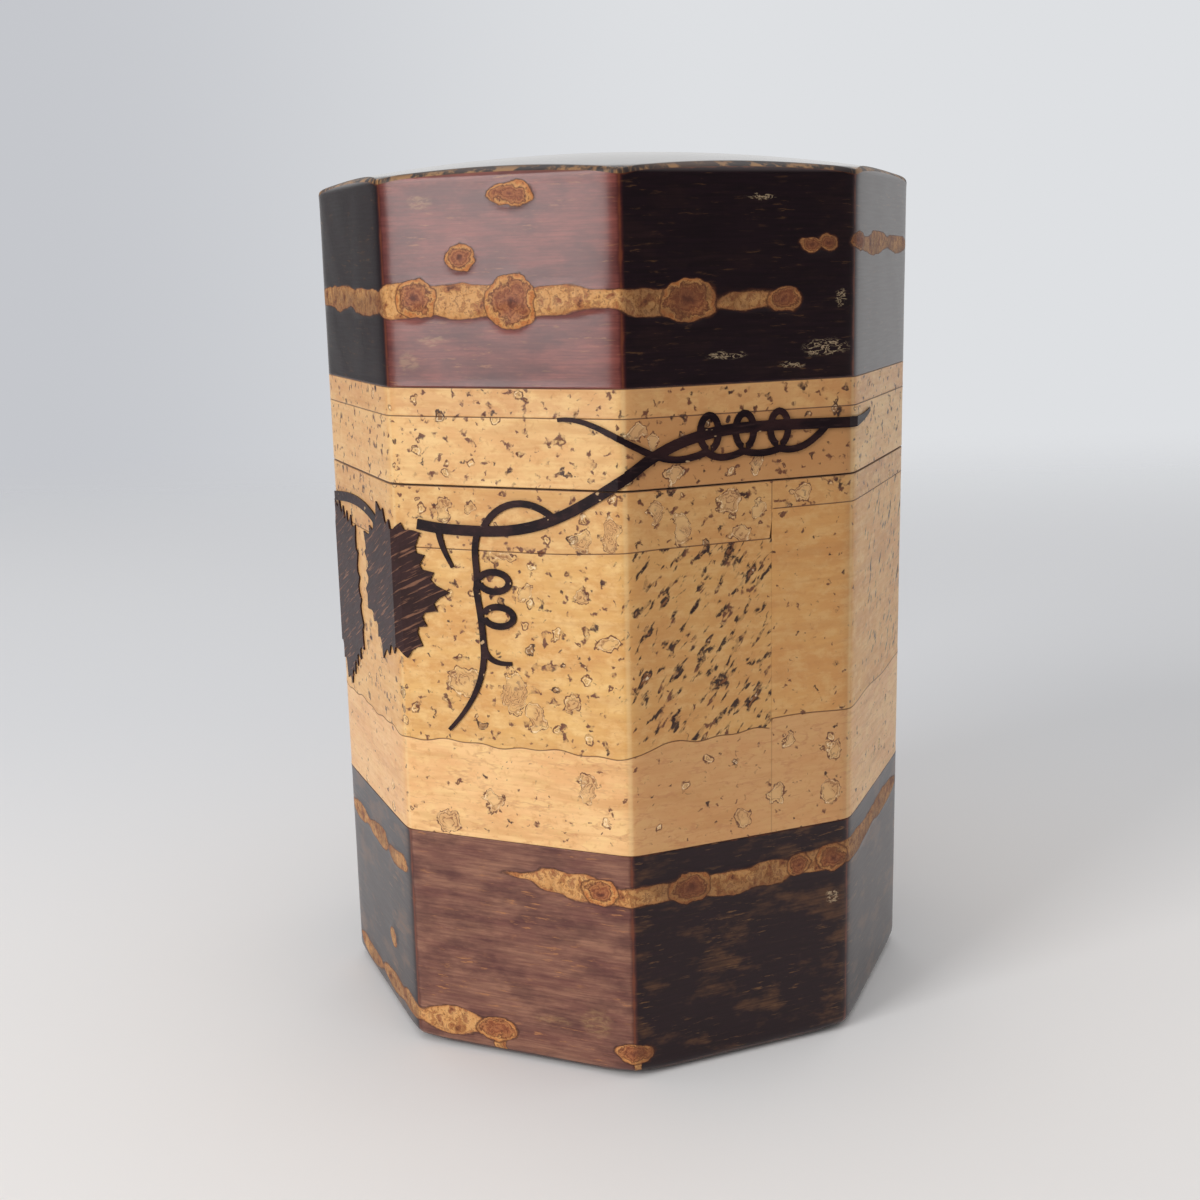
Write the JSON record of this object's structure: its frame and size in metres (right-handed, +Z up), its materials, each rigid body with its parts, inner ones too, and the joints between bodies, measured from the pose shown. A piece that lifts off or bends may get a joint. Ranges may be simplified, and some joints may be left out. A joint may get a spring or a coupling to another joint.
{
  "type": "octagonal tea caddy",
  "caption": "Octagonal wooden tea caddy skinned in dark and pale cherry bark with a vine inlay, a raised inner sleeve, a plug inner lid with a turned knob and a crowned lift-off lid.",
  "frame": {"origin": "centre of the underside, on the surface the caddy stands on", "axes": "+Z up through the crown of the lid; -Y points out of the front arris; +X to the right of a viewer facing that arris"},
  "size_m": [0.0861, 0.0861, 0.1229],
  "materials": {
    "dark_bark": "polished cherry bark with a lacquer-like sheen",
    "pale_bark": "smoothed corky inner bark, satin",
    "vine_bark": "polished dark bark, laid on",
    "core_wood": "planed pale wood",
    "sleeve_wood": "smooth satin cherry wood"
  },
  "bodies": {
    "body": {"body_stave_1": "core_wood", "body_stave_2": "core_wood", "body_stave_3": "core_wood", "body_stave_4": "core_wood", "body_stave_5": "core_wood", "body_stave_6": "core_wood", "body_stave_7": "core_wood", "body_stave_8": "core_wood", "base_board": "core_wood", "base_bark": "dark_bark", "foot_band": "dark_bark", "pale_low": "pale_bark", "pale_mid_left": "pale_bark", "pale_mid_right": "pale_bark", "pale_high": "pale_bark", "sleeve_slat_1": "sleeve_wood", "sleeve_slat_2": "sleeve_wood", "sleeve_slat_3": "sleeve_wood", "sleeve_slat_4": "sleeve_wood", "sleeve_slat_5": "sleeve_wood", "sleeve_slat_6": "sleeve_wood", "sleeve_slat_7": "sleeve_wood", "sleeve_slat_8": "sleeve_wood", "sleeve_bark": "dark_bark", "body_vine": "vine_bark", "side_vine": "vine_bark", "body_leaf": "vine_bark", "side_leaf": "vine_bark"},
    "lid": {"lid_stave_1": "core_wood", "lid_stave_2": "core_wood", "lid_stave_3": "core_wood", "lid_stave_4": "core_wood", "lid_stave_5": "core_wood", "lid_stave_6": "core_wood", "lid_stave_7": "core_wood", "lid_stave_8": "core_wood", "lid_top_board": "core_wood", "lid_top_bark": "dark_bark", "lid_dark_band": "dark_bark", "lid_pale_thin": "pale_bark", "lid_pale_low": "pale_bark", "lid_vine": "vine_bark"},
    "inner_lid": {"inner_lid_board": "sleeve_wood", "inner_lid_facing": "dark_bark", "inner_lid_knob": "sleeve_wood"}
  },
  "joints": [
    {"name": "lid_lift", "type": "slide", "parent": "body", "child": "lid", "axis": [0, 0, 1], "range_m": [0, 0.1]},
    {"name": "inner_lid_lift", "type": "slide", "parent": "body", "child": "inner_lid", "axis": [0, 0, 1], "range_m": [0, 0.04]}
  ],
  "couplings": [
    {"joint": "inner_lid_lift", "follows": "lid_lift", "ratio": 0.4}
  ]
}
